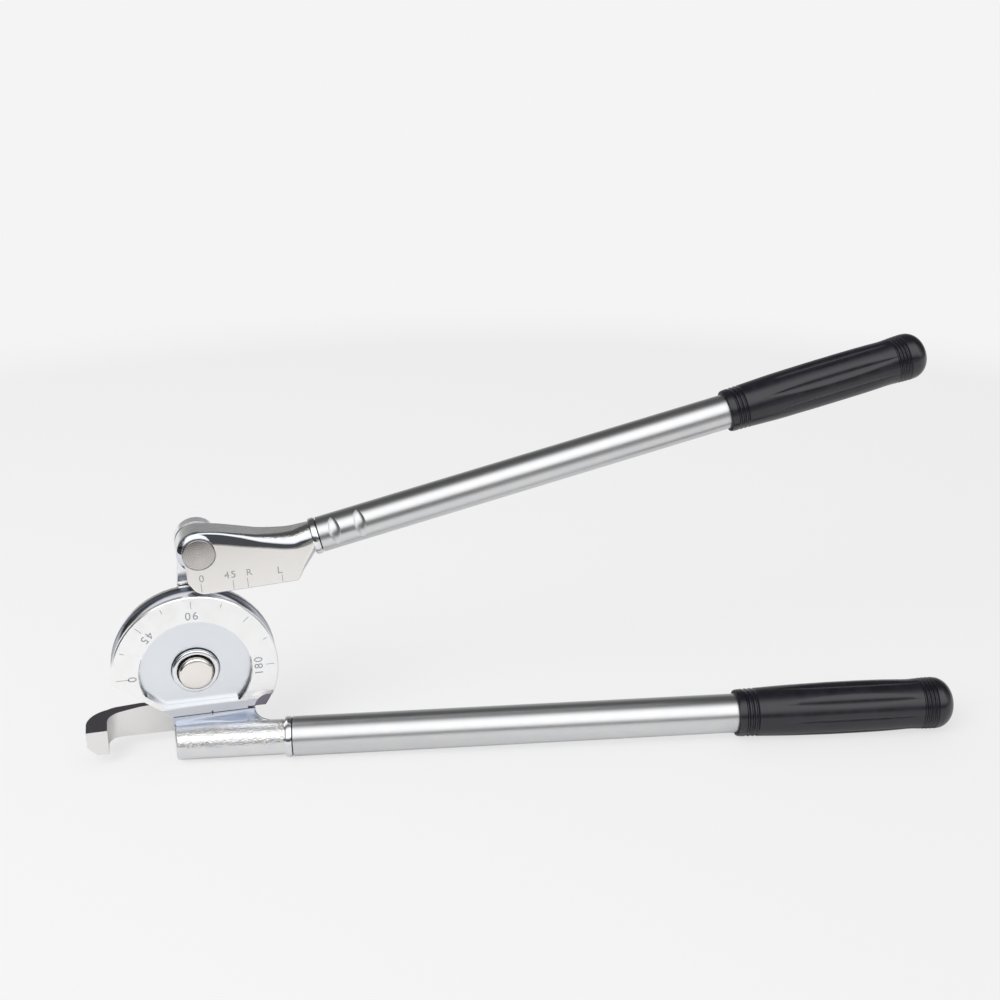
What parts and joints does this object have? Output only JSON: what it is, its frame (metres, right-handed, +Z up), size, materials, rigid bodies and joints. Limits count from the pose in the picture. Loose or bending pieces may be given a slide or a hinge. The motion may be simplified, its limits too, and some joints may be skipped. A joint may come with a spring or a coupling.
{
  "type": "lever tube bender",
  "caption": "Hand lever tube bender with a grooved bend die and degree scale, a link-mounted forming head, a hooked tube latch and long tubular handles with rubber grips.",
  "frame": {"origin": "centre of the bounding box on the ground, in the posture of the picture", "axes": "+X along the lower handle towards its grip, +Y to the back of the die along its axis, +Z up"},
  "size_m": [0.5562, 0.1386, 0.2515],
  "materials": {
    "machined_steel": "fine satin, machined and plated",
    "forged_steel": "satin plate over a forged surface",
    "satin_steel": "satin plate",
    "bright_steel": "turned and bright plated",
    "bronze": "plain bearing bronze",
    "black_steel": "black oxide",
    "grip_rubber": "moulded, semi-matt"
  },
  "bodies": {
    "lower_handle": {"bend_die": "machined_steel", "die_bushing": "bronze", "die_collar": "bright_steel", "handle_socket": "forged_steel", "die_screw_1": "black_steel", "die_screw_2": "black_steel", "lower_tube": "satin_steel", "lower_grip": "grip_rubber", "latch_screw": "black_steel", "latch_washer": "bright_steel", "latch_spring_washer": "bright_steel"},
    "link": {"link_arm": "satin_steel", "die_pin": "bright_steel", "die_pin_ring": "black_steel", "die_thrust_washer": "bright_steel", "head_pin": "bright_steel", "head_pin_ring": "black_steel", "head_thrust_washer": "bright_steel"},
    "upper_handle": {"shoe_head": "forged_steel", "head_bushing": "bronze", "upper_tube": "satin_steel", "upper_grip": "grip_rubber"},
    "latch": {"latch_hook": "satin_steel"}
  },
  "joints": [
    {"name": "link_swing", "type": "hinge", "parent": "lower_handle", "child": "link", "pos_m": [-0.20774, 0.06251, 0.05915], "axis": [0, 1, 0], "range_deg": [-95.2, 84.8]},
    {"name": "head_pivot", "type": "hinge", "parent": "link", "child": "upper_handle", "pos_m": [-0.20049, 0.04451, 0.13882], "axis": [0, -1, 0], "range_deg": [-8.5, 100]},
    {"name": "latch_swing", "type": "hinge", "parent": "lower_handle", "child": "latch", "pos_m": [-0.21374, 0.05951, 0.01815], "axis": [0, -1, 0], "range_deg": [0, 90]}
  ]
}
